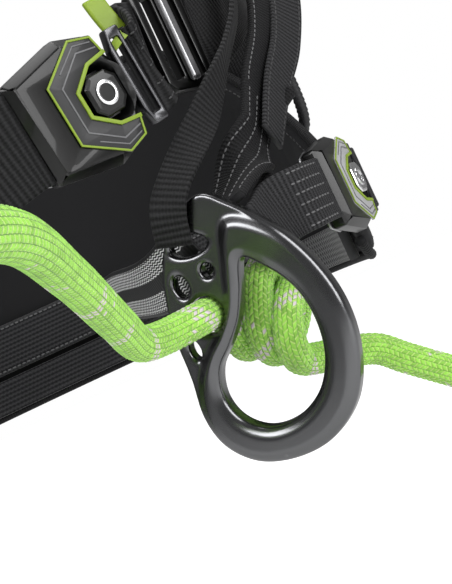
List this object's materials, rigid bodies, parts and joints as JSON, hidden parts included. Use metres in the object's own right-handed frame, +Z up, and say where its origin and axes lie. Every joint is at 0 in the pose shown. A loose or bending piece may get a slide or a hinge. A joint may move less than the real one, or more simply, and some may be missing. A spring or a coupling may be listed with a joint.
{
  "type": "tree climbing saddle",
  "caption": "Tree climbing saddle: padded waist belt with forged hip plates and side rings, buckles and a braided rope bridge with a sliding ring.",
  "frame": {"origin": "the middle of the wearer's waist, half way up the back pad", "axes": "+Z up, the wearer faces -Y, +X is the wearer's left"},
  "size_m": [0.4118, 0.5194, 0.269],
  "materials": {
    "forged_aluminium": "satin, dark grey anodised over a forging",
    "anodised_shell": "satin, black anodised, with a lime outlined panel",
    "satin_steel": "satin",
    "bridge_rope": "braided sheath with pale flecks",
    "moulded_plastic": "matt",
    "padding_cover": "smooth matt lining",
    "reflective_webbing": "woven, grey waves with a black centre line",
    "ribbed_mesh": "ribbed knit",
    "black_webbing": "ribbed weave"
  },
  "bodies": {
    "belt": {"waist_pad": "padding_cover", "lower_pad_roll": "padding_cover", "back_shell": "moulded_plastic", "left_keeper_sleeve": "ribbed_mesh", "right_keeper_sleeve": "ribbed_mesh", "waist_belt_back": "black_webbing", "belt_centre_strap": "black_webbing", "left_load_webbing": "reflective_webbing", "right_load_webbing": "reflective_webbing", "left_belt_side_strap": "black_webbing", "right_belt_side_strap": "black_webbing", "left_belt_front_strap": "black_webbing", "right_belt_front_strap": "black_webbing", "left_waist_buckle_shell": "anodised_shell", "right_waist_buckle_shell": "anodised_shell", "left_waist_buckle_tongue": "satin_steel", "right_waist_buckle_tongue": "satin_steel", "left_belt_adjuster_frame": "anodised_shell", "right_belt_adjuster_frame": "anodised_shell", "left_narrow_hanger_strap": "black_webbing", "right_narrow_hanger_strap": "black_webbing", "left_wide_hanger_strap": "black_webbing", "right_wide_hanger_strap": "black_webbing", "left_hip_strap": "black_webbing", "right_hip_strap": "black_webbing", "left_hip_buckle_shell": "anodised_shell", "right_hip_buckle_shell": "anodised_shell", "left_hip_buckle_tongue": "satin_steel", "right_hip_buckle_tongue": "satin_steel", "left_hip_wing_tab": "black_webbing", "right_hip_wing_tab": "black_webbing", "left_waist_buckle_inlay": "moulded_plastic", "right_waist_buckle_inlay": "moulded_plastic", "left_waist_buckle_back_plate": "anodised_shell", "right_waist_buckle_back_plate": "anodised_shell", "left_hip_buckle_inlay": "moulded_plastic", "right_hip_buckle_inlay": "moulded_plastic", "left_hip_buckle_back_plate": "anodised_shell", "right_hip_buckle_back_plate": "anodised_shell", "left_rear_gear_loop": "moulded_plastic", "right_rear_gear_loop": "moulded_plastic", "left_side_gear_loop": "moulded_plastic", "right_side_gear_loop": "moulded_plastic"},
    "bridge": {"rope_bridge": "bridge_rope"},
    "ring": {"bridge_ring": "forged_aluminium"},
    "left_plate": {"left_hip_plate": "forged_aluminium", "left_stopper_knot": "bridge_rope", "left_bridge_tail": "bridge_rope", "left_tail_end_sleeve": "moulded_plastic"},
    "left_waist_catch": {"left_waist_buckle_catch": "satin_steel"},
    "left_hip_catch": {"left_hip_buckle_catch": "satin_steel"},
    "left_adjuster_bar": {"left_belt_adjuster_bar": "satin_steel"},
    "right_plate": {"right_hip_plate": "forged_aluminium", "right_stopper_knot": "bridge_rope", "right_bridge_tail": "bridge_rope", "right_tail_end_sleeve": "moulded_plastic"},
    "right_waist_catch": {"right_waist_buckle_catch": "satin_steel"},
    "right_hip_catch": {"right_hip_buckle_catch": "satin_steel"},
    "right_adjuster_bar": {"right_belt_adjuster_bar": "satin_steel"}
  },
  "joints": [
    {"name": "bridge_swing", "type": "hinge", "parent": "belt", "child": "bridge", "pos_m": [0, -0.1155, -0.052], "axis": [1, 0, 0], "range_deg": [-20, 0]},
    {"name": "left_plate_swing", "type": "hinge", "parent": "belt", "child": "left_plate", "pos_m": [0.086, -0.1155, -0.052], "axis": [1, 0, 0], "range_deg": [-20, 0]},
    {"name": "right_plate_swing", "type": "hinge", "parent": "belt", "child": "right_plate", "pos_m": [-0.086, -0.1155, -0.052], "axis": [1, 0, 0], "range_deg": [-20, 0]},
    {"name": "ring_travel", "type": "hinge", "parent": "bridge", "child": "ring", "pos_m": [0, -0.278, -0.041], "axis": [0, 0, 1], "range_deg": [-60, 60]},
    {"name": "left_waist_catch_press", "type": "slide", "parent": "belt", "child": "left_waist_catch", "axis": [0.608, -0.7785, -0.1557], "range_m": [-0.0025, 0], "stiffness_N_per_m": 900},
    {"name": "left_hip_catch_press", "type": "slide", "parent": "belt", "child": "left_hip_catch", "axis": [0.9326, -0.361, 0], "range_m": [-0.002, 0], "stiffness_N_per_m": 900},
    {"name": "left_adjuster_bar_slide", "type": "slide", "parent": "belt", "child": "left_adjuster_bar", "axis": [0.6157, 0.788, 0], "range_m": [-0.003, 0.003]},
    {"name": "right_waist_catch_press", "type": "slide", "parent": "belt", "child": "right_waist_catch", "axis": [-0.608, -0.7785, -0.1557], "range_m": [-0.0025, 0], "stiffness_N_per_m": 900},
    {"name": "right_hip_catch_press", "type": "slide", "parent": "belt", "child": "right_hip_catch", "axis": [-0.9326, -0.361, 0], "range_m": [-0.002, 0], "stiffness_N_per_m": 900},
    {"name": "right_adjuster_bar_slide", "type": "slide", "parent": "belt", "child": "right_adjuster_bar", "axis": [-0.6157, 0.788, 0], "range_m": [-0.003, 0.003]}
  ],
  "couplings": [
    {"joint": "left_plate_swing", "follows": "bridge_swing", "ratio": 1},
    {"joint": "right_plate_swing", "follows": "bridge_swing", "ratio": 1}
  ]
}
